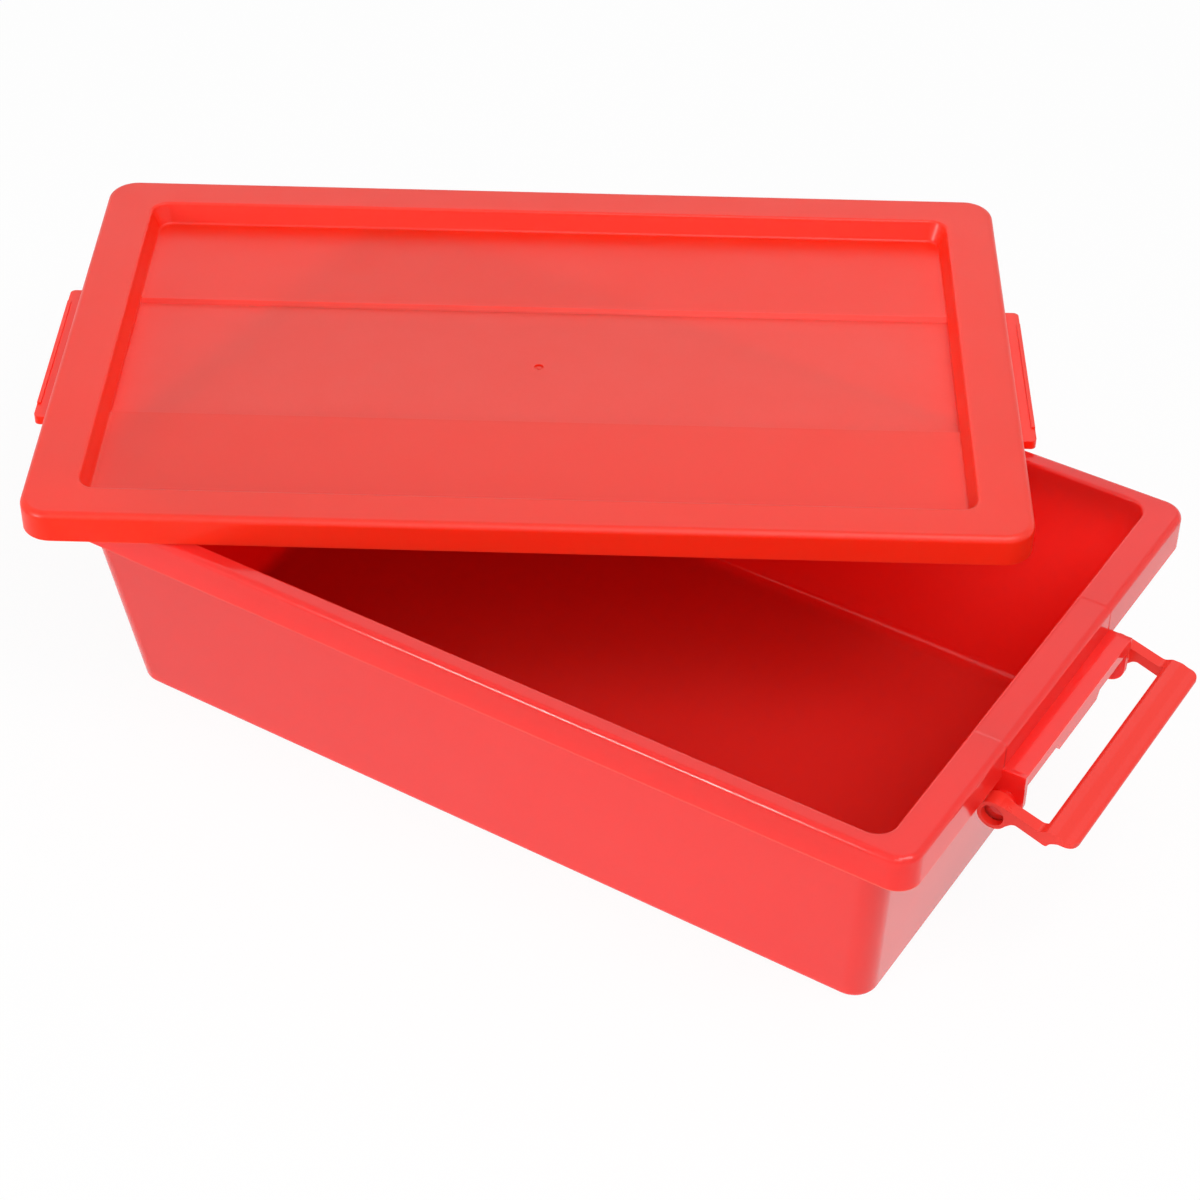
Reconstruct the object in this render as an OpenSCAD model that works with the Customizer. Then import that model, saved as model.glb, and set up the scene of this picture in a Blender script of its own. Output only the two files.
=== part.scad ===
// Stacking storage box: a tapered tub with a rolled rim, a lift-off lid with a
// recessed panel, and a bail handle snapped on the moulded pins at each short end.
// X runs along the length, Z is up, and the origin is the centre of the foot.

/* [Tub] */
// Length over the rim
rim_l = 345; // [335:1:400]
// Width over the rim
rim_w = 212; // [200:1:260]
// Height of the rim above the foot
tub_h = 91; // [88:1:120]
// Length of the foot
foot_l = 306; // [280:1:310]
// Width of the foot
foot_w = 174; // [150:1:180]
// Wall thickness of the tub
wall = 1.8; // [1.4:0.1:2.4]
// Flat width of the rim on the short ends
rim_end = 12.6; // [11.5:0.1:16]
// Flat width of the rim on the long sides
rim_side = 7.3; // [7:0.1:12]
// Depth of the skirt that hangs from the rim
skirt_h = 13.5; // [10:0.5:14]
// Corner radius of the rim
rim_r = 8.5; // [7:0.5:14]
// Corner radius of the mouth
mouth_r = 7; // [6:0.5:12]
// Corner radius of the foot
foot_r = 9; // [7:0.5:14]
// Rounding under the foot
foot_round = 3; // [1:0.5:4]
// Rounding inside the floor
floor_round = 5; // [2:0.5:8]

/* [Brackets] */
// Half the length of each ledge
ledge_half = 41.2; // [40.5:0.1:42]
// How far the ledge stands out from the rim
ledge_out = 8.4; // [7.5:0.1:10]
// Drop from the rim to the top of the ledge
ledge_drop = 10.1; // [9.9:0.1:11]
// Depth of the apron under the ledge's outer edge
apron_h = 4.8; // [3:0.1:6]
// Depth of the apron's deeper middle
apron_mid_h = 7.9; // [6:0.1:9]
// Half the length of the apron's deeper middle
apron_mid_half = 14.4; // [10:0.1:20]
// Radius of the lobe that carries each pin
lobe_r = 6.5; // [6:0.1:7]
// Radius of each pin
pin_r = 3.95; // [3:0.05:3.97]

/* [Handles] */
// Height of the pin axis above the foot
pivot_z = 68.3; // [67:0.1:70]
// Distance of the pin axis outside the rim
pivot_out = 1.8; // [1.5:0.1:3]
// Radius of the ring round each pin
ring_r = 5.4; // [5.3:0.1:6]
// Radius of the hole in each ring
hole_r = 4; // [4:0.05:4.05]
// Distance from the pin axis to the grip's inner edge
grip_near = 17.8; // [17.8:0.1:20]
// Distance from the pin axis to the grip's outer edge
grip_far = 29.4; // [28:0.1:32]
// Height of the grip's crest above the pin axis
grip_top = 2.7; // [2.2:0.1:3]
// Depth of the grip's underside below the pin axis
grip_under = 0.9; // [0.6:0.1:1.2]
// Depth of each arm's heel below the pin axis
heel = 3.9; // [3:0.1:4.5]
// Half the clear span between the arms
arm_half = 45.1; // [44.5:0.1:46]
// Width of each arm
arm_w = 4.6; // [4:0.1:6]
// How far each ring is wider than its arm
boss = 1.7; // [0.5:0.1:2]
// Angle of the right handle above its level pose
right_swing = 0; // [-110:1:78]
// Angle of the left handle, which hangs
left_swing = -92; // [-110:1:45]

/* [Lid] */
// Length over the lid's skirt
lid_l = 349; // [347:0.5:404]
// Width over the lid's skirt
lid_w = 216; // [214:0.5:264]
// Height of the lid
lid_h = 11.5; // [10:0.5:14]
// Wall thickness of the lid
lid_t = 1.6; // [1.2:0.1:1.6]
// Corner radius of the lid
lid_r = 11; // [9:0.5:16]
// Rounding of the lid's top edge
lid_round = 2.5; // [1.7:0.1:3]
// Width of the frame on the short ends
frame_end = 19; // [16:0.5:24]
// Width of the frame on the long sides
frame_side = 16.4; // [14:0.5:24]
// Depth of the panel below the frame
panel_depth = 8; // [5:0.5:8]
// How far the panel's wall leans in
panel_lean = 2; // [1:0.5:4]
// Extra depth of the band along the middle of the panel
band_depth = 1.7; // [0.5:0.1:1.7]
// Half the width of the band
band_half = 35.5; // [20:0.5:50]
// Half the length of each end tab
tab_half = 41; // [30:0.5:42]
// How far each tab stands out from the skirt
tab_out = 6.2; // [4:0.1:7]
// Thickness of each tab
tab_t = 3.4; // [2:0.1:3.5]

/* [Lid as it lies] */
// Place of the lid's centre along X
lid_x = -64; // [-80:1:-50]
// Place of the lid's centre along Y
lid_y = 50.5; // [40:1:60]
// Turn of the lid on the rim
lid_turn = 30.5; // [28:0.5:33]
// Gap between the rim and the lid that lies on it
lid_gap = 0.3; // [0.2:0.1:0.5]

/* [Hidden] */
$fn = 48;

tub_red = [0.86, 0.13, 0.12];
lid_red = [0.93, 0.27, 0.24];
handle_red = [0.90, 0.18, 0.15];

corner_steps = 6;   // flats in each rounded corner
round_steps = 4;    // flats in each rolled edge
rim_round = 2.4;    // rolled outer edge of the rim
mouth_round = 1.4;  // rolled edge of the mouth
bite = 0.4;         // how deep fused parts sink into each other

ledge_x = rim_l / 2 + ledge_out;
ledge_z = tub_h - ledge_drop;
pivot_x = rim_l / 2 + pivot_out;
cheek_t = 2;
cheek_half = ledge_half - 0.6;
arm_out = arm_half + arm_w;
pin_end = arm_out - 2.7;

// Outlines as [half length, half width, corner radius]
foot = [foot_l / 2, foot_w / 2, foot_r];
rim = [rim_l / 2, rim_w / 2, rim_r];
mouth = [rim_l / 2 - rim_end, rim_w / 2 - rim_side, mouth_r];
throat = [mouth[0] + wall, mouth[1] + wall, mouth[2] + wall];
lid_edge = [lid_l / 2, lid_w / 2, lid_r];
recess = [lid_l / 2 - frame_end, lid_w / 2 - frame_side, 6];

// One station of a loft: an outline drawn in by d, at height z
function station(s, d, z) = [s[0] - d, s[1] - d, max(s[2] - d, 0.8), z];

// The tub's outer wall at height z
function wall_at(z) = foot + (throat - foot) * z / tub_h;

// Points of a rounded rectangle, seen from above against the clock
function ring(s) = [
    for (q = [0:3], i = [0:corner_steps])
        let (t = 90 * (q + i / corner_steps),
             sx = q == 0 || q == 3 ? 1 : -1,
             sy = q < 2 ? 1 : -1)
        [sx * (s[0] - s[2]) + s[2] * cos(t), sy * (s[1] - s[2]) + s[2] * sin(t), s[3]]
];

// Closed skin over a list of stations, capped at the first and the last
module loft(stations) {
    n = 4 * (corner_steps + 1);
    last = len(stations) - 1;
    skin = [for (k = [0:last - 1], i = [0:n - 1])
        let (a = k * n + i, b = k * n + (i + 1) % n)
        each [[a, a + n, b + n], [a, b + n, b]]];
    polyhedron(
        points = [for (s = stations) each ring(s)],
        faces = concat([[for (i = [0:n - 1]) i]], skin, [[for (i = [0:n - 1]) last * n + n - 1 - i]])
    );
}

// Angles of a rolled edge, from 0 to 90 degrees
function roll() = [for (i = [0:round_steps]) 90 * i / round_steps];

// ---- Tub ----

// Floor, walls, rim and skirt in one skin: up the outside and down the inside
module shell() {
    outside = [for (t = roll()) let (z = foot_round * (1 - cos(t)))
        station(wall_at(z), foot_round * (1 - sin(t)), z)];
    skirt = [
        station(wall_at(tub_h - wall), 0, tub_h - wall),
        station(rim, wall, tub_h - wall),
        station(rim, wall, tub_h - skirt_h),
        station(rim, 0, tub_h - skirt_h)
    ];
    edge = [for (t = roll())
        station(rim, rim_round * (1 - cos(t)), tub_h - rim_round * (1 - sin(t)))];
    lip = [for (t = roll())
        station(mouth, -mouth_round * (1 - sin(t)), tub_h - mouth_round * (1 - cos(t)))];
    inside = [for (t = roll()) let (z = wall + floor_round * (1 - sin(t)))
        station(wall_at(z), wall + floor_round * (1 - cos(t)), z)];
    loft(concat(outside, skirt, edge, lip, inside));
}

// Apron under the ledge's outer edge, deeper along its middle
module apron() {
    translate([ledge_x - cheek_t, 0, ledge_z]) rotate([90, 0, 90])
        linear_extrude(cheek_t) polygon([
            [-ledge_half, 0],
            [-ledge_half, -apron_h],
            [-apron_mid_half - 2, -apron_h],
            [-apron_mid_half, -apron_mid_h],
            [apron_mid_half, -apron_mid_h],
            [apron_mid_half + 2, -apron_h],
            [ledge_half, -apron_h],
            [ledge_half, 0]
        ]);
}

// Cheek that hangs from the ledge, gusseted back to the wall, with a round lobe
module cheek() {
    top = tub_h - wall + bite;
    back = throat[0] - 1.5;
    rotate([90, 0, 0]) linear_extrude(cheek_t) union() {
        translate([pivot_x, pivot_z]) circle(lobe_r);
        polygon([
            [back, top],
            [back, pivot_z + 7],
            [pivot_x - lobe_r, pivot_z],
            [pivot_x + lobe_r, pivot_z],
            [pivot_x + lobe_r, ledge_z - bite],
            [rim[0] - bite, ledge_z - bite],
            [rim[0] - bite, top]
        ]);
    }
}

// Ledge, apron, two cheeks and the pins that the handle turns on
module bracket() {
    translate([rim[0] - wall, -ledge_half, ledge_z - wall])
        cube([ledge_x - rim[0] + wall, 2 * ledge_half, wall]);
    apron();
    for (side = [-1, 1]) {
        translate([0, side * (cheek_half - cheek_t / 2) + cheek_t / 2, 0]) cheek();
        translate([pivot_x, side * (cheek_half - bite), pivot_z]) rotate([-side * 90, 0, 0])
            cylinder(r = pin_r, h = pin_end - cheek_half + bite);
    }
}

module tub() color(tub_red) {
    shell();
    for (turn = [0, 180]) rotate([0, 0, turn]) bracket();
}

// ---- Lid ----

// Panel, frame and skirt in one skin: out along the underside, back over the top
module tray() {
    panel_z = lid_h - panel_depth;
    floor_edge = [recess[0] - panel_lean, recess[1] - panel_lean, recess[2] - 1];
    underside = [
        station(floor_edge, -lid_t, panel_z - lid_t),
        station(recess, -lid_t, lid_h - lid_t),
        station(lid_edge, lid_t, lid_h - lid_t),
        station(lid_edge, lid_t, 0),
        station(lid_edge, 0, 0)
    ];
    edge = [for (t = roll())
        station(lid_edge, lid_round * (1 - cos(t)), lid_h - lid_round * (1 - sin(t)))];
    inside = [
        station(recess, -0.8, lid_h),
        station(recess, -0.2, lid_h - 0.3),
        station(recess, 0, lid_h - 1),
        station(floor_edge, 0, panel_z + 1),
        station(floor_edge, 1, panel_z)
    ];
    loft(concat(underside, edge, inside));
}

// The sunken band as a bar along the panel: top at height z, sides carried up by rise
module band(z, half_length, rise) {
    slope = 0.7;
    foot_z = z - band_depth;
    top_half = band_half + slope * (band_depth + rise);
    rotate([90, 0, 90]) linear_extrude(2 * half_length, center = true) polygon([
        [-top_half, z + rise],
        [-band_half, foot_z],
        [band_half, foot_z],
        [top_half, z + rise]
    ]);
}

// Tab on a short end, with rounded corners and a catch ridge along its edge
module tab() {
    corner = 2;
    ridge_w = 1.4;
    ridge_h = 0.6;
    ridge_half = tab_half - 8;
    root = lid_l / 2 - lid_t;
    reach = lid_l / 2 + tab_out;
    linear_extrude(tab_t) union() {
        translate([root, -tab_half]) square([reach - corner - root, 2 * tab_half]);
        translate([root, -tab_half + corner]) square([reach - root, 2 * (tab_half - corner)]);
        for (side = [-1, 1]) translate([reach - corner, side * (tab_half - corner)]) circle(corner);
    }
    translate([reach - ridge_w, -ridge_half, tab_t - bite])
        cube([ridge_w, 2 * ridge_half, ridge_h + bite]);
}

module lid() color(lid_red) {
    panel_z = lid_h - panel_depth;
    half_band = recess[0] - panel_lean;
    gate_r = 1.8;
    translate([lid_x, lid_y, tub_h + lid_gap]) rotate([0, 0, lid_turn]) {
        difference() {
            union() {
                tray();
                band(panel_z - lid_t + 0.01, half_band + lid_t, 0);
            }
            band(panel_z, half_band, 1.2);
            translate([0, 0, panel_z - band_depth - bite]) cylinder(r = gate_r, h = 1);
        }
        for (turn = [0, 180]) rotate([0, 0, turn]) tab();
    }
}

// ---- Handles ----

// Side outline of an arm: from its ring it slopes down to a heel under the grip
arm_side = [
    [0, 4.5], [1.6, 5.1], [3.8, 5],
    [grip_near - 1.4, 1.3], [grip_near + 1.4, grip_top],
    [grip_near + 6, 0], [grip_near + 6, -0.7],
    [grip_near + 4, -1.4], [grip_near + 2.5, -2.2], [grip_near + 1.5, -heel],
    [9.2, -0.6], [8.3, -0.3], [6.8, -0.7], [5.4, -2], [4.5, -2.9], [3.6, -3.8], [0, -4.5]
];

// Side outline of the grip: a flat blade with a crest along its inner edge
grip_side = [
    [grip_near, -grip_under], [grip_near, grip_top - 0.7], [grip_near + 1.4, grip_top],
    [grip_near + 4.9, grip_top - 0.1], [grip_near + 7.4, 1.55],
    [grip_far - 1, 1.35], [grip_far - 0.3, 1.1], [grip_far, 0.5],
    [grip_far, -0.2], [grip_far - 0.5, -0.7], [grip_far - 1.4, -grip_under]
];

// Plan of the handle: a U with rounded outer corners
module handle_plan() {
    corner = 4;
    tip = grip_far - corner;
    bend = [for (a = [90:-15:0]) [tip + corner * cos(a), arm_out - corner + corner * sin(a)]];
    half = concat([[-ring_r, arm_out]], bend);
    mirrored = [for (i = [len(half) - 1:-1:0]) [half[i][0], -half[i][1]]];
    difference() {
        polygon(concat(half, mirrored));
        translate([-ring_r - 1, -arm_half]) square([ring_r + 1 + grip_near, 2 * arm_half]);
    }
}

// Handle in its level pose, pointing out along X
module handle() {
    width = 2 * arm_out + 2;
    difference() {
        union() {
            intersection() {
                rotate([90, 0, 0]) union() {
                    linear_extrude(width, center = true) polygon(arm_side);
                    linear_extrude(width, center = true) polygon(grip_side);
                }
                linear_extrude(6 * ring_r, center = true) handle_plan();
            }
            for (side = [-1, 1])
                translate([0, side * (arm_out - (arm_w + boss) / 2), 0]) rotate([90, 0, 0])
                    cylinder(r = ring_r, h = arm_w + boss, center = true);
        }
        translate([grip_near - 1, -arm_half, -grip_under - heel]) cube([8, 2 * arm_half, heel]);
        rotate([90, 0, 0]) cylinder(r = hole_r, h = width, center = true);
    }
}

module handle_right() color(handle_red)
    translate([pivot_x, 0, pivot_z]) rotate([0, -right_swing, 0]) handle();

module handle_left() color(handle_red)
    rotate([0, 0, 180]) translate([pivot_x, 0, pivot_z]) rotate([0, -left_swing, 0]) handle();

tub();
lid();
handle_right();
handle_left();
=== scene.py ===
import math

import bpy
from mathutils import Matrix, Vector

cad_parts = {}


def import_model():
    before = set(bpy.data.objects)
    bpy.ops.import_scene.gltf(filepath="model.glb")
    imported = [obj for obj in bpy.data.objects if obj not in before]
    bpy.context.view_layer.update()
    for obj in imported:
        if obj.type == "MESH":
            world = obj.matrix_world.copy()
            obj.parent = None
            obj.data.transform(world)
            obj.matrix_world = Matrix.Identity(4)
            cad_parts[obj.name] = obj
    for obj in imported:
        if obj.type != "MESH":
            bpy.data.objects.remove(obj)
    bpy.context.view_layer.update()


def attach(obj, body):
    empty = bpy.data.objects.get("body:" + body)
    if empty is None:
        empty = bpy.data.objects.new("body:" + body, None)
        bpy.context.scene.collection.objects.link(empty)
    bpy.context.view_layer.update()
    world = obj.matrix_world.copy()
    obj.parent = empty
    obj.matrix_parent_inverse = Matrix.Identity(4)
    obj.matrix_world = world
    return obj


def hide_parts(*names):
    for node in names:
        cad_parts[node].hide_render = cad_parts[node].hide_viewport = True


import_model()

MM = 0.001

# ---- Sizes, in millimetres, as in the model of the construction ----

RIM_L, RIM_W = 345.0, 212.0
FOOT_L, FOOT_W = 306.0, 174.0
TUB_H = 91.0
WALL = 1.8
RIM_END, RIM_SIDE = 12.6, 7.3
SKIRT_H = 13.5
RIM_R, MOUTH_R, FOOT_R = 8.5, 7.0, 9.0
RIM_ROUND, MOUTH_ROUND = 2.4, 1.4
FOOT_ROUND, FLOOR_ROUND = 3.0, 5.0

LEDGE_HALF, LEDGE_OUT, LEDGE_DROP = 41.2, 8.4, 10.1
APRON_H, APRON_MID_H, APRON_MID_HALF, APRON_SLOPE = 4.8, 7.9, 14.4, 2.0
CHEEK_T, LOBE_R, PIN_R = 2.0, 6.5, 3.95
BITE = 0.4

PIVOT_Z, PIVOT_OUT = 68.3, 1.8
RING_R, HOLE_R = 5.4, 4.0
GRIP_NEAR, GRIP_FAR = 17.8, 29.4
GRIP_TOP, GRIP_UNDER, HEEL = 2.7, 0.9, 3.9
ARM_HALF, ARM_W, BOSS = 45.1, 4.6, 1.7
RIGHT_SWING, LEFT_SWING = 0.0, -92.0

LID_L, LID_W, LID_H, LID_T = 349.0, 216.0, 11.5, 1.6
LID_R, LID_ROUND = 11.0, 2.5
FRAME_END, FRAME_SIDE = 19.0, 16.4
PANEL_DEPTH, PANEL_LEAN = 8.0, 2.0
BAND_DEPTH, BAND_HALF, BAND_SLOPE = 1.7, 35.5, 0.7
TAB_HALF, TAB_OUT, TAB_T, TAB_R = 41.0, 6.2, 3.4, 2.0
RIDGE_W, RIDGE_H, RIDGE_INSET = 1.4, 0.6, 8.0
LID_X, LID_Y, LID_TURN, LID_GAP = -64.0, 50.5, 30.5, 0.3

GATE_R, GATE_DEPTH, STUB_R, STUB_H = 1.8, 0.9, 0.7, 0.6
LIP_ROUND, HOLLOW_ROUND = 1.2, 1.2
SINK_DEPTH = 0.25

# How far a mould rounds the edges of each piece
TUB_EDGE, LID_EDGE_ROUND, HANDLE_EDGE = 0.4, 0.35, 0.5

CORNER_STEPS = 14
ROUND_STEPS = 8
BORE_SIDES = 64

LEDGE_X = RIM_L / 2 + LEDGE_OUT
LEDGE_Z = TUB_H - LEDGE_DROP
PIVOT_X = RIM_L / 2 + PIVOT_OUT
CHEEK_HALF = LEDGE_HALF - 0.6
ARM_OUT = ARM_HALF + ARM_W
PIN_END = ARM_OUT - 2.7

# Outlines as (half length, half width, corner radius)
FOOT = (FOOT_L / 2, FOOT_W / 2, FOOT_R)
RIM = (RIM_L / 2, RIM_W / 2, RIM_R)
MOUTH = (RIM_L / 2 - RIM_END, RIM_W / 2 - RIM_SIDE, MOUTH_R)
THROAT = (MOUTH[0] + WALL, MOUTH[1] + WALL, MOUTH[2] + WALL)
LID_EDGE = (LID_L / 2, LID_W / 2, LID_R)
RECESS = (LID_L / 2 - FRAME_END, LID_W / 2 - FRAME_SIDE, 6.0)

# Side outline of a handle's arm: from its ring it slopes down to a heel under the grip
ARM_SIDE = [
    (0, -4.5), (3.6, -3.8), (4.5, -2.9), (5.4, -2.0), (6.8, -0.7), (8.3, -0.3), (9.2, -0.6),
    (GRIP_NEAR + 1.5, -HEEL), (GRIP_NEAR + 2.5, -2.2), (GRIP_NEAR + 4, -1.4),
    (GRIP_NEAR + 6, -0.7), (GRIP_NEAR + 6, 0), (GRIP_NEAR + 1.4, GRIP_TOP),
    (GRIP_NEAR - 1.4, 1.3), (3.8, 5.0), (1.6, 5.1), (0, 4.5),
]

# Side outline of the grip: a flat blade with a crest along its inner edge
GRIP_SIDE = [
    (GRIP_NEAR, -GRIP_UNDER), (GRIP_FAR - 1.4, -GRIP_UNDER), (GRIP_FAR - 0.5, -0.7),
    (GRIP_FAR, -0.2), (GRIP_FAR, 0.5), (GRIP_FAR - 0.3, 1.1), (GRIP_FAR - 1, 1.35),
    (GRIP_NEAR + 7.4, 1.55), (GRIP_NEAR + 4.9, GRIP_TOP - 0.1), (GRIP_NEAR + 1.4, GRIP_TOP),
    (GRIP_NEAR, GRIP_TOP - 0.7),
]


# ---- Meshes ----

def mesh_object(name, points, faces):
    """A mesh object from points in millimetres."""
    mesh = bpy.data.meshes.new(name)
    mesh.from_pydata([Vector(p) * MM for p in points], [], faces)
    mesh.update()
    obj = bpy.data.objects.new(name, mesh)
    bpy.context.scene.collection.objects.link(obj)
    return obj


def station(outline, inset, z):
    """An outline drawn in by inset, at height z."""
    return (outline[0] - inset, outline[1] - inset, max(outline[2] - inset, 0.8), z)


def ring(at):
    """Points of a rounded rectangle, seen from above against the clock."""
    half_x, half_y, radius, z = at
    points = []
    for quarter in range(4):
        side_x = 1 if quarter in (0, 3) else -1
        side_y = 1 if quarter < 2 else -1
        for i in range(CORNER_STEPS + 1):
            turn = math.radians(90 * (quarter + i / CORNER_STEPS))
            points.append((
                side_x * (half_x - radius) + radius * math.cos(turn),
                side_y * (half_y - radius) + radius * math.sin(turn),
                z,
            ))
    return points


def loft(name, stations):
    """Closed skin over a list of stations, capped at the first and the last."""
    count = 4 * (CORNER_STEPS + 1)
    points = [p for at in stations for p in ring(at)]
    faces = [tuple(reversed(range(count)))]
    for k in range(len(stations) - 1):
        for i in range(count):
            a = k * count + i
            b = k * count + (i + 1) % count
            faces.append((a, b, b + count, a + count))
    top = (len(stations) - 1) * count
    faces.append(tuple(range(top, top + count)))
    return mesh_object(name, points, faces)


def prism(name, outline, low, high):
    """An outline of (x, y) points extruded from z = low to z = high."""
    count = len(outline)
    points = [(x, y, z) for z in (low, high) for x, y in outline]
    faces = [tuple(reversed(range(count))), tuple(range(count, 2 * count))]
    for i in range(count):
        j = (i + 1) % count
        faces.append((i, j, j + count, i + count))
    return mesh_object(name, points, faces)


def block(name, low, high):
    """A box between two corners."""
    (x0, y0, z0), (x1, y1, z1) = low, high
    return prism(name, [(x0, y0), (x1, y0), (x1, y1), (x0, y1)], z0, z1)


def disc(radius, sides=BORE_SIDES, x=0.0, y=0.0):
    """Outline of a circle."""
    turns = [2 * math.pi * i / sides for i in range(sides)]
    return [(x + radius * math.cos(t), y + radius * math.sin(t)) for t in turns]


def move(obj, matrix):
    """Moves the mesh itself, so the object stays at the origin."""
    obj.data.transform(matrix)
    return obj


def offset(x, y, z):
    return Matrix.Translation(Vector((x, y, z)) * MM)


def turned(degrees, axis):
    return Matrix.Rotation(math.radians(degrees), 4, axis)


# How the lid lies on the rim
LID_POSE = offset(LID_X, LID_Y, TUB_H + LID_GAP) @ turned(LID_TURN, "Z")
# An outline drawn in X and Z, extruded along Y
UPRIGHT = turned(90, "X")
# An outline drawn in Y and Z, extruded along X
ALONG_X = turned(90, "Z") @ turned(90, "X")


def apply_modifiers(obj):
    graph = bpy.context.evaluated_depsgraph_get()
    mesh = bpy.data.meshes.new_from_object(obj.evaluated_get(graph))
    obj.modifiers.clear()
    obj.data = mesh
    return obj


def combine(base, tools, operation):
    """Exact boolean of base with each tool. The tools are used up."""
    for tool in tools:
        cut = base.modifiers.new("cut", "BOOLEAN")
        cut.solver = "EXACT"
        cut.operation = operation
        cut.object = tool
        bpy.context.view_layer.update()
        apply_modifiers(base)
        bpy.data.objects.remove(tool)
    return base


def soften(obj, width, segments=3, limit=30.0):
    """Rounds every edge sharper than limit, as a mould leaves it, and smooths the shading."""
    bevel = obj.modifiers.new("bevel", "BEVEL")
    bevel.width = width * MM
    bevel.segments = segments
    bevel.limit_method = "ANGLE"
    bevel.angle_limit = math.radians(limit)
    bevel.harden_normals = False
    bevel.miter_outer = "MITER_ARC"
    bpy.context.view_layer.update()
    apply_modifiers(obj)
    obj.data.polygons.foreach_set("use_smooth", [True] * len(obj.data.polygons))
    obj.data.set_sharp_from_angle(angle=math.radians(40))
    weighted = obj.modifiers.new("normals", "WEIGHTED_NORMAL")
    weighted.keep_sharp = True
    weighted.mode = "FACE_AREA"
    bpy.context.view_layer.update()
    return obj


# ---- Tub ----

def roll():
    """Turns of a rolled edge, from 0 to 90 degrees."""
    return [math.radians(90 * i / ROUND_STEPS) for i in range(ROUND_STEPS + 1)]


def wall_at(z):
    """The tub's outer wall at height z."""
    share = z / TUB_H
    return tuple(f + (t - f) * share for f, t in zip(FOOT, THROAT))


def tub_shell():
    """Floor, walls, rim and skirt: up the outside and down the inside."""
    stations = []
    for t in roll():
        z = FOOT_ROUND * (1 - math.cos(t))
        stations.append(station(wall_at(z), FOOT_ROUND * (1 - math.sin(t)), z))
    under = TUB_H - WALL
    stations.append(station(wall_at(under), 0, under))
    stations.append(station(RIM, WALL, under))
    stations.append(station(RIM, WALL, TUB_H - SKIRT_H))
    stations.append(station(RIM, 0, TUB_H - SKIRT_H))
    for t in roll():
        inset = RIM_ROUND * (1 - math.cos(t))
        stations.append(station(RIM, inset, TUB_H - RIM_ROUND * (1 - math.sin(t))))
    for t in roll():
        inset = -MOUTH_ROUND * (1 - math.sin(t))
        stations.append(station(MOUTH, inset, TUB_H - MOUTH_ROUND * (1 - math.cos(t))))
    for t in roll():
        z = WALL + FLOOR_ROUND * (1 - math.sin(t))
        stations.append(station(wall_at(z), WALL + FLOOR_ROUND * (1 - math.cos(t)), z))
    return loft("tub_moulding", stations)


def apron():
    """Apron under the ledge's outer edge, deeper along its middle."""
    half = [(APRON_MID_HALF, -APRON_MID_H), (APRON_MID_HALF + APRON_SLOPE, -APRON_H),
            (LEDGE_HALF, -APRON_H), (LEDGE_HALF, 0)]
    outline = [(-y, z) for y, z in reversed(half)] + half
    plate = prism("apron", outline, 0, CHEEK_T)
    return move(plate, offset(LEDGE_X - CHEEK_T, 0, LEDGE_Z) @ ALONG_X)


def cheek(side):
    """Cheek that hangs from the ledge, gusseted back to the wall, with a round lobe."""
    top = TUB_H - WALL + BITE
    back = THROAT[0] - 1.5
    lobe = []
    for i in range(BORE_SIDES // 2 + 1):
        t = math.pi + math.pi * i / (BORE_SIDES // 2)
        lobe.append((PIVOT_X + LOBE_R * math.cos(t), PIVOT_Z + LOBE_R * math.sin(t)))
    outline = [(back, top), (back, PIVOT_Z + 7)] + lobe + [
        (PIVOT_X + LOBE_R, LEDGE_Z - BITE), (RIM[0] - BITE, LEDGE_Z - BITE), (RIM[0] - BITE, top)]
    plate = prism("cheek", outline, -CHEEK_T / 2, CHEEK_T / 2)
    return move(plate, offset(0, side * (CHEEK_HALF - CHEEK_T / 2), 0) @ UPRIGHT)


def pin(side):
    """Pin that a handle's ring turns on."""
    start = CHEEK_HALF - BITE
    rod = prism("pin", disc(PIN_R), min(side * start, side * PIN_END), max(side * start, side * PIN_END))
    return move(rod, offset(PIVOT_X, 0, PIVOT_Z) @ turned(-90, "X"))


def tub():
    body = tub_shell()
    for turn in (0, 180):
        ledge = block("ledge", (RIM[0] - WALL, -LEDGE_HALF, LEDGE_Z - WALL), (LEDGE_X, LEDGE_HALF, LEDGE_Z))
        parts = [ledge, apron()]
        for side in (-1, 1):
            parts.append(cheek(side))
            parts.append(pin(side))
        for part in parts:
            move(part, turned(turn, "Z"))
        combine(body, parts, "UNION")
    return soften(body, TUB_EDGE)


# ---- Lid ----

def lid_tray():
    """Panel, frame and skirt: out along the underside, back over the top."""
    panel_z = LID_H - PANEL_DEPTH
    floor_edge = (RECESS[0] - PANEL_LEAN, RECESS[1] - PANEL_LEAN, RECESS[2] - 1)
    stations = [
        station(floor_edge, -LID_T, panel_z - LID_T),
        station(RECESS, -LID_T, LID_H - LID_T),
        station(LID_EDGE, LID_T, LID_H - LID_T),
        station(LID_EDGE, LID_T, 0),
        station(LID_EDGE, 0, 0),
    ]
    for t in roll():
        inset = LID_ROUND * (1 - math.cos(t))
        stations.append(station(LID_EDGE, inset, LID_H - LID_ROUND * (1 - math.sin(t))))
    for t in roll():
        inset = -LIP_ROUND * (1 - math.sin(t))
        stations.append(station(RECESS, inset, LID_H - LIP_ROUND * (1 - math.cos(t))))
    for t in roll():
        inset = HOLLOW_ROUND * (1 - math.cos(t))
        stations.append(station(floor_edge, inset, panel_z + HOLLOW_ROUND * (1 - math.sin(t))))
    return loft("lid_moulding", stations)


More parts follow.
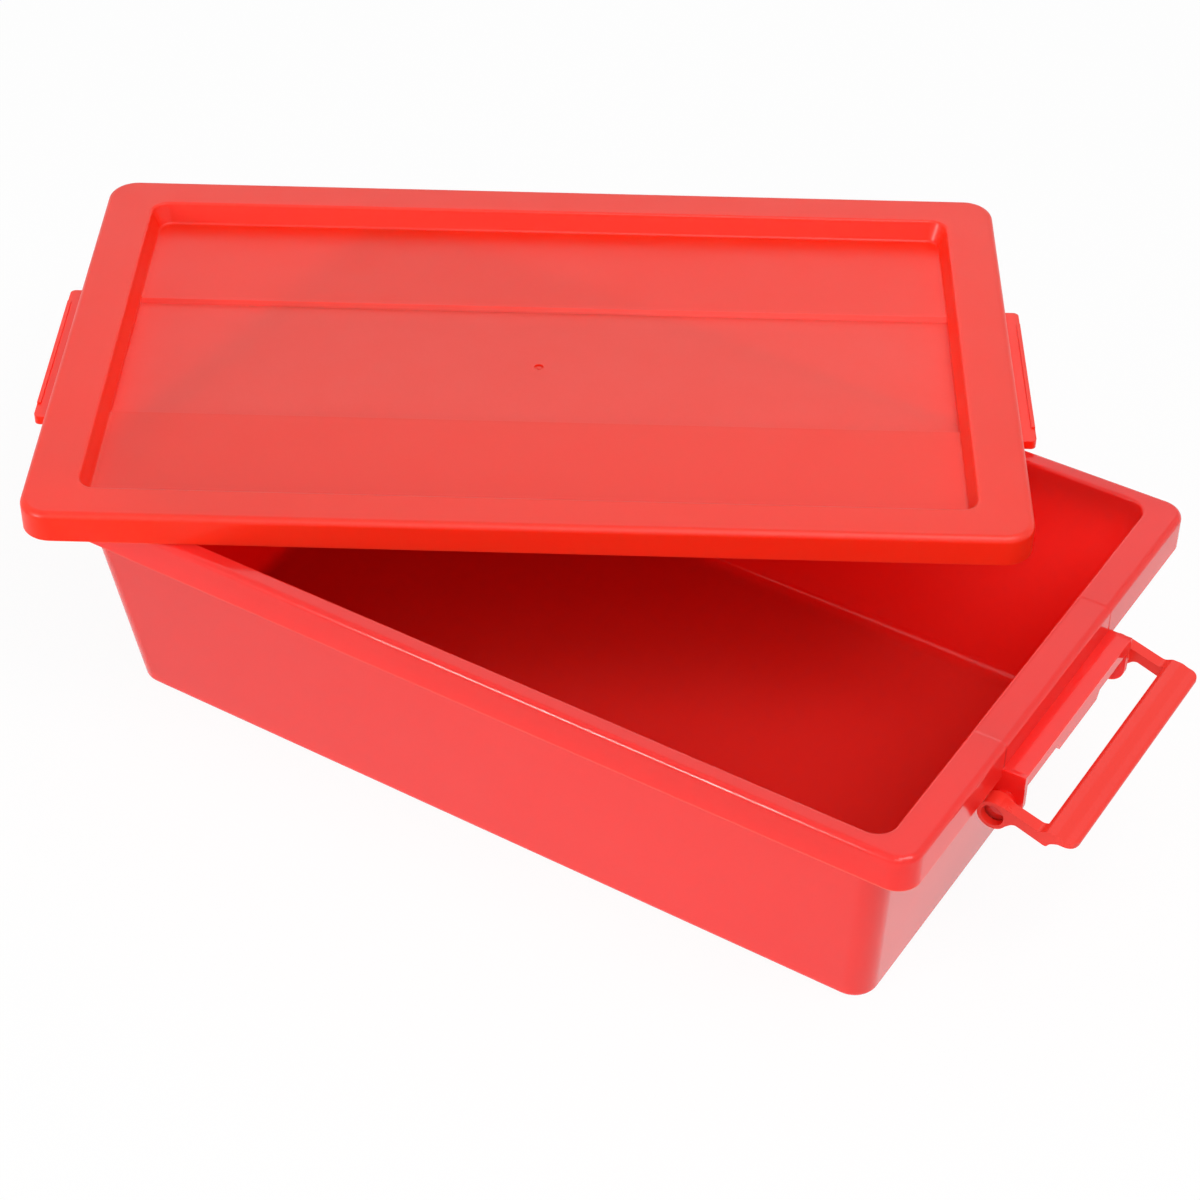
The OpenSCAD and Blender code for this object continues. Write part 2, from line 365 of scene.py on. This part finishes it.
def band(z, half_length, rise):
    """The sunken band as a bar along the panel: top at z, sides carried up by rise."""
    top_half = BAND_HALF + BAND_SLOPE * (BAND_DEPTH + rise)
    outline = [(-top_half, z + rise), (-BAND_HALF, z - BAND_DEPTH),
               (BAND_HALF, z - BAND_DEPTH), (top_half, z + rise)]
    return move(prism("band", outline, -half_length, half_length), ALONG_X)


def tab():
    """Tab on a short end, with rounded corners and a catch ridge along its edge."""
    root = LID_L / 2 - LID_T
    reach = LID_L / 2 + TAB_OUT
    outline = [(root, -TAB_HALF)]
    for side, first in ((-1, -90), (1, 0)):
        for i in range(CORNER_STEPS + 1):
            t = math.radians(first + 90 * i / CORNER_STEPS)
            outline.append((reach - TAB_R + TAB_R * math.cos(t),
                            side * (TAB_HALF - TAB_R) + TAB_R * math.sin(t)))
    outline.append((root, TAB_HALF))
    plate = prism("tab", outline, 0, TAB_T)
    half = TAB_HALF - RIDGE_INSET
    ridge = block("ridge", (reach - RIDGE_W, -half, TAB_T - BITE), (reach, half, TAB_T + RIDGE_H))
    return combine(plate, [ridge], "UNION")


def lid():
    panel_z = LID_H - PANEL_DEPTH
    half_band = RECESS[0] - PANEL_LEAN
    body = lid_tray()
    combine(body, [band(panel_z - LID_T + 0.01, half_band + LID_T, 0)], "UNION")
    gate_floor = panel_z - BAND_DEPTH - GATE_DEPTH
    gate = prism("gate", disc(GATE_R), gate_floor, panel_z)
    combine(body, [band(panel_z, half_band, 1.2), gate], "DIFFERENCE")
    stub = prism("stub", disc(STUB_R), gate_floor - 0.2, gate_floor + STUB_H)
    combine(body, [stub], "UNION")
    for turn in (0, 180):
        combine(body, [move(tab(), turned(turn, "Z"))], "UNION")
    soften(body, LID_EDGE_ROUND)
    return move(body, LID_POSE)


# ---- Handles ----

def rounded(outline, radius, steps=5):
    """An outline with each corner drawn as a curve that starts radius away from it."""
    points = []
    for i, corner in enumerate(outline):
        here = Vector(corner)
        before = Vector(outline[i - 1]) - here
        after = Vector(outline[(i + 1) % len(outline)]) - here
        start = here + before.normalized() * min(radius, 0.45 * before.length)
        end = here + after.normalized() * min(radius, 0.45 * after.length)
        for k in range(steps + 1):
            t = k / steps
            points.append(tuple((1 - t) ** 2 * start + 2 * t * (1 - t) * here + t * t * end))
    return points


def handle_plan():
    """Plan of the handle: a U with rounded outer corners."""
    corner = 4.0
    tip = GRIP_FAR - corner
    half = [(-RING_R, ARM_OUT)]
    for i in range(CORNER_STEPS + 1):
        t = math.radians(90 - 90 * i / CORNER_STEPS)
        half.append((tip + corner * math.cos(t), ARM_OUT - corner + corner * math.sin(t)))
    outline = [(x, -y) for x, y in half] + list(reversed(half))
    return prism("handle_plan", outline, -3 * RING_R, 3 * RING_R)


def handle(name):
    """Handle in its level pose, pointing out along X."""
    wide, deep = ARM_OUT + 1, 4 * RING_R
    body = move(prism(name, rounded(ARM_SIDE, 1.2), -wide, wide), UPRIGHT)
    grip = move(prism("grip", rounded(GRIP_SIDE, 0.8), -wide, wide), UPRIGHT)
    combine(body, [grip], "UNION")
    combine(body, [handle_plan()], "INTERSECT")
    window = block("window", (-2 * RING_R, -ARM_HALF, -deep), (GRIP_NEAR, ARM_HALF, deep))
    hollow = block("hollow", (GRIP_NEAR - 1, -ARM_HALF, -deep), (GRIP_NEAR + 7, ARM_HALF, -GRIP_UNDER))
    combine(body, [window, hollow], "DIFFERENCE")
    for side in (-1, 1):
        inner, outer = sorted((side * (ARM_HALF - BOSS), side * ARM_OUT))
        combine(body, [move(prism("ring", disc(RING_R), inner, outer), turned(-90, "X"))], "UNION")
    combine(body, [move(prism("bore", disc(HOLE_R), -wide, wide), UPRIGHT)], "DIFFERENCE")
    return soften(body, HANDLE_EDGE)


def handle_right():
    pose = offset(PIVOT_X, 0, PIVOT_Z) @ turned(-RIGHT_SWING, "Y")
    return move(handle("handle_right_moulding"), pose)


def handle_left():
    pose = turned(180, "Z") @ offset(PIVOT_X, 0, PIVOT_Z) @ turned(-LEFT_SWING, "Y")
    return move(handle("handle_left_moulding"), pose)


# ---- Materials ----

# How far light travels under the surface, in metres
TUB_LIGHT_DEPTH, LID_LIGHT_DEPTH = 0.009, 0.0042


def moulded_plastic(name, colour, deep, rough, peel, grain):
    """Moulded polypropylene: faint flow in its colour, uneven gloss, orange peel and grain.

    colour and deep are the ends of the flow, rough the range of roughness, and peel and
    grain the heights of two bumps in metres.
    """
    mat = bpy.data.materials.new(name)
    mat.use_nodes = True
    nodes, links = mat.node_tree.nodes, mat.node_tree.links
    shader = nodes["Principled BSDF"]
    shader.inputs["IOR"].default_value = 1.4

    place = nodes.new("ShaderNodeTexCoord").outputs["Object"]

    def noise(scale, detail, distortion=0.0):
        tex = nodes.new("ShaderNodeTexNoise")
        tex.inputs["Scale"].default_value = scale
        tex.inputs["Detail"].default_value = detail
        tex.inputs["Distortion"].default_value = distortion
        links.new(place, tex.inputs["Vector"])
        return tex.outputs["Fac"]

    flow = nodes.new("ShaderNodeMix")
    flow.data_type = "RGBA"
    flow.inputs["A"].default_value = (*deep, 1)
    flow.inputs["B"].default_value = (*colour, 1)
    links.new(noise(11, 3, 1.2), flow.inputs["Factor"])
    links.new(flow.outputs["Result"], shader.inputs["Base Color"])

    gloss = nodes.new("ShaderNodeMapRange")
    gloss.inputs["From Min"].default_value = 0.3
    gloss.inputs["From Max"].default_value = 0.7
    gloss.inputs["To Min"].default_value = rough[0]
    gloss.inputs["To Max"].default_value = rough[1]
    links.new(noise(60, 5), gloss.inputs["Value"])
    links.new(gloss.outputs["Result"], shader.inputs["Roughness"])

    waves = nodes.new("ShaderNodeBump")
    waves.inputs["Distance"].default_value = peel
    links.new(noise(90, 2), waves.inputs["Height"])
    fine = nodes.new("ShaderNodeBump")
    fine.inputs["Distance"].default_value = grain
    links.new(noise(2600, 2), fine.inputs["Height"])
    links.new(waves.outputs["Normal"], fine.inputs["Normal"])
    links.new(fine.outputs["Normal"], shader.inputs["Normal"])
    return mat


def set_finish(obj, mats, body, slot, *nodes):
    """Gives a piece its materials, and ties it to its body and nodes; slot is not used."""
    obj.data.materials.clear()
    for mat in mats:
        obj.data.materials.append(mat)
    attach(obj, body)
    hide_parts(*nodes)


def let_light_in(mat, depth):
    """Light spreads under the surface, red the furthest, as thin polypropylene lets it."""
    shader = mat.node_tree.nodes["Principled BSDF"]
    shader.inputs["Subsurface Weight"].default_value = 1.0
    shader.inputs["Subsurface Radius"].default_value = (1.0, 0.25, 0.2)
    shader.inputs["Subsurface Scale"].default_value = depth


def sink_marks(mat):
    """Faint steps across the short rims, where the brackets have drawn the plastic in."""
    nodes, links = mat.node_tree.nodes, mat.node_tree.links
    shader = nodes["Principled BSDF"]
    place = nodes.new("ShaderNodeSeparateXYZ")
    links.new(nodes.new("ShaderNodeTexCoord").outputs["Object"], place.inputs["Vector"])

    def ramp(axis, start, end, low, high):
        size = nodes.new("ShaderNodeMath")
        size.operation = "ABSOLUTE"
        links.new(place.outputs[axis], size.inputs[0])
        step = nodes.new("ShaderNodeMapRange")
        step.inputs["From Min"].default_value = start * MM
        step.inputs["From Max"].default_value = end * MM
        step.inputs["To Min"].default_value = low
        step.inputs["To Max"].default_value = high
        links.new(size.outputs["Value"], step.inputs["Value"])
        return step.outputs["Result"]

    height = nodes.new("ShaderNodeMath")
    height.operation = "MAXIMUM"
    links.new(ramp("Y", CHEEK_HALF - 1.2, CHEEK_HALF, 0, 1), height.inputs[0])
    links.new(ramp("X", MOUTH[0] + 0.6, MOUTH[0] + 1.6, 1, 0), height.inputs[1])
    marks = nodes.new("ShaderNodeBump")
    marks.inputs["Distance"].default_value = SINK_DEPTH * MM
    links.new(height.outputs["Value"], marks.inputs["Height"])
    links.new(shader.inputs["Normal"].links[0].from_socket, marks.inputs["Normal"])
    links.new(marks.outputs["Normal"], shader.inputs["Normal"])


tub_plastic = moulded_plastic(
    "tub_plastic", colour=(0.96, 0.026, 0.020), deep=(0.94, 0.021, 0.017),
    rough=(0.10, 0.16), peel=0.00003, grain=0.000001)
lid_plastic = moulded_plastic(
    "lid_plastic", colour=(0.97, 0.030, 0.009), deep=(0.95, 0.025, 0.007),
    rough=(0.30, 0.38), peel=0.00004, grain=0.000006)
# The band is pinker than the rest of the lid only as painted sheen; its higher roughness is real.
band_plastic_painted_sheen = moulded_plastic(
    "lid_band_painted_sheen", colour=(0.97, 0.066, 0.046), deep=(0.95, 0.058, 0.040),
    rough=(0.46, 0.54), peel=0.00004, grain=0.000010)
handle_plastic = moulded_plastic(
    "handle_plastic", colour=(0.86, 0.040, 0.026), deep=(0.84, 0.034, 0.022),
    rough=(0.26, 0.34), peel=0.00003, grain=0.000004)

sink_marks(tub_plastic)
let_light_in(tub_plastic, TUB_LIGHT_DEPTH)
let_light_in(lid_plastic, LID_LIGHT_DEPTH)
let_light_in(band_plastic_painted_sheen, LID_LIGHT_DEPTH)


def give_band_matt_and_painted_sheen(obj):
    """Gives the sunken band of the lid's panel the lid's second material: a more matt finish, and a pinker
    colour that is a painted sheen.
    """
    band_top = LID_H - PANEL_DEPTH - 0.4
    for face in obj.data.polygons:
        at = LID_POSE.inverted() @ face.center / MM
        in_band = abs(at.y) < BAND_HALF + 1 and abs(at.x) < RECESS[0] - PANEL_LEAN
        if in_band and face.normal.z > 0.5 and at.z < band_top:
            face.material_index = 1


set_finish(tub(), [tub_plastic], "tub", "tub_plastic", "tub")
lid_moulding = lid()
set_finish(lid_moulding, [lid_plastic, band_plastic_painted_sheen], "lid", "lid_plastic", "lid")
give_band_matt_and_painted_sheen(lid_moulding)
set_finish(handle_right(), [handle_plastic], "handle_right", "handle_plastic", "handle_right")
set_finish(handle_left(), [handle_plastic], "handle_left", "handle_plastic", "handle_left")


# ---- Floor, light and camera ----

FLOOR_HALF = 12000.0
FLOOR_WHITE_SHARE = 0.94
SKY_LIGHT, SKY_SEEN = 0.44, 1.0

# Camera in metres, degrees of yaw, pitch and tilt, and lens in millimetres
CAMERA_AT = (0.4189, -0.6892, 0.7155)
CAMERA_TURNS = (-31.59, 39.75, 0.79)
LENS, SENSOR = 87.1, 36.0


def seen_rays(nodes, links):
    """1 for rays that the camera, a glossy surface or a clear one sends out, else 0."""
    path = nodes.new("ShaderNodeLightPath")
    total = path.outputs["Is Camera Ray"]
    for name in ("Is Glossy Ray", "Is Transmission Ray"):
        add = nodes.new("ShaderNodeMath")
        add.operation = "MAXIMUM"
        links.new(total, add.inputs[0])
        links.new(path.outputs[name], add.inputs[1])
        total = add.outputs["Value"]
    return total


def floor_material():
    """White floor that keeps a soft share of the shadow."""
    mat = bpy.data.materials.new("floor_white")
    mat.use_nodes = True
    nodes, links = mat.node_tree.nodes, mat.node_tree.links
    nodes.clear()
    out = nodes.new("ShaderNodeOutputMaterial")
    paper = nodes.new("ShaderNodeBsdfDiffuse")
    paper.inputs["Color"].default_value = (0.9, 0.9, 0.9, 1)
    glow = nodes.new("ShaderNodeEmission")
    glow.inputs["Strength"].default_value = 1.0
    share = nodes.new("ShaderNodeMath")
    share.operation = "MULTIPLY"
    share.inputs[1].default_value = FLOOR_WHITE_SHARE
    links.new(seen_rays(nodes, links), share.inputs[0])
    mix = nodes.new("ShaderNodeMixShader")
    links.new(share.outputs["Value"], mix.inputs["Fac"])
    links.new(paper.outputs["BSDF"], mix.inputs[1])
    links.new(glow.outputs["Emission"], mix.inputs[2])
    links.new(mix.outputs["Shader"], out.inputs["Surface"])
    return mat


def floor():
    """The floor, wide enough to reach the horizon in low views."""
    half = FLOOR_HALF
    plane = mesh_object("floor", [(-half, -half, 0), (half, -half, 0), (half, half, 0), (-half, half, 0)],
                        [(0, 1, 2, 3)])
    plane.data.materials.append(floor_material())


def world():
    """Even light, and a white surrounding for what the camera and the gloss see."""
    sky = bpy.data.worlds.new("studio")
    bpy.context.scene.world = sky
    sky.use_nodes = True
    nodes, links = sky.node_tree.nodes, sky.node_tree.links
    back = nodes["Background"]
    level = nodes.new("ShaderNodeMix")
    level.inputs["A"].default_value = SKY_LIGHT
    level.inputs["B"].default_value = SKY_SEEN
    links.new(seen_rays(nodes, links), level.inputs["Factor"])
    links.new(level.outputs["Result"], back.inputs["Strength"])
    back.inputs["Color"].default_value = (1, 1, 1, 1)


def softbox(name, at, wide, high, power, target=(0, 0, 0.05)):
    """An area lamp at a place in metres, of a width, a height and a power in watts."""
    lamp = bpy.data.lights.new(name, "AREA")
    lamp.shape = "RECTANGLE"
    lamp.size = wide
    lamp.size_y = high
    lamp.energy = power
    obj = bpy.data.objects.new(name, lamp)
    bpy.context.scene.collection.objects.link(obj)
    obj.location = at
    aim = Vector(target) - Vector(at)
    obj.rotation_euler = aim.to_track_quat("-Z", "Y").to_euler()


def camera():
    """A lens and place fitted to the photograph's straight edges."""
    yaw, pitch, tilt = (math.radians(angle) for angle in CAMERA_TURNS)
    ahead = Vector((math.sin(yaw) * math.cos(pitch), math.cos(yaw) * math.cos(pitch), -math.sin(pitch)))
    right = Vector((math.cos(yaw), -math.sin(yaw), 0))
    up = right.cross(ahead)
    side = right * math.cos(tilt) + up * math.sin(tilt)
    top = up * math.cos(tilt) - right * math.sin(tilt)
    data = bpy.data.cameras.new("camera")
    data.lens = LENS
    data.sensor_width = SENSOR
    data.sensor_fit = "HORIZONTAL"
    data.clip_start = 0.01
    obj = bpy.data.objects.new("camera", data)
    bpy.context.scene.collection.objects.link(obj)
    axes = Matrix((side, top, -ahead)).transposed().to_4x4()
    obj.matrix_world = Matrix.Translation(CAMERA_AT) @ axes
    bpy.context.scene.camera = obj


floor()
world()
softbox("back", (-0.64, 1.05, 1.11), 1.3, 1.3, 2.4)
softbox("front", (0.63, -1.03, 1.07), 0.6, 0.6, 3.4)
softbox("over", (0.75, -0.2, 1.35), 0.8, 0.8, 10.4)
softbox("window", (-0.62, -1.68, 0.42), 0.44, 0.50, 13.5)
camera()
bpy.context.scene.view_settings.view_transform = "Standard"
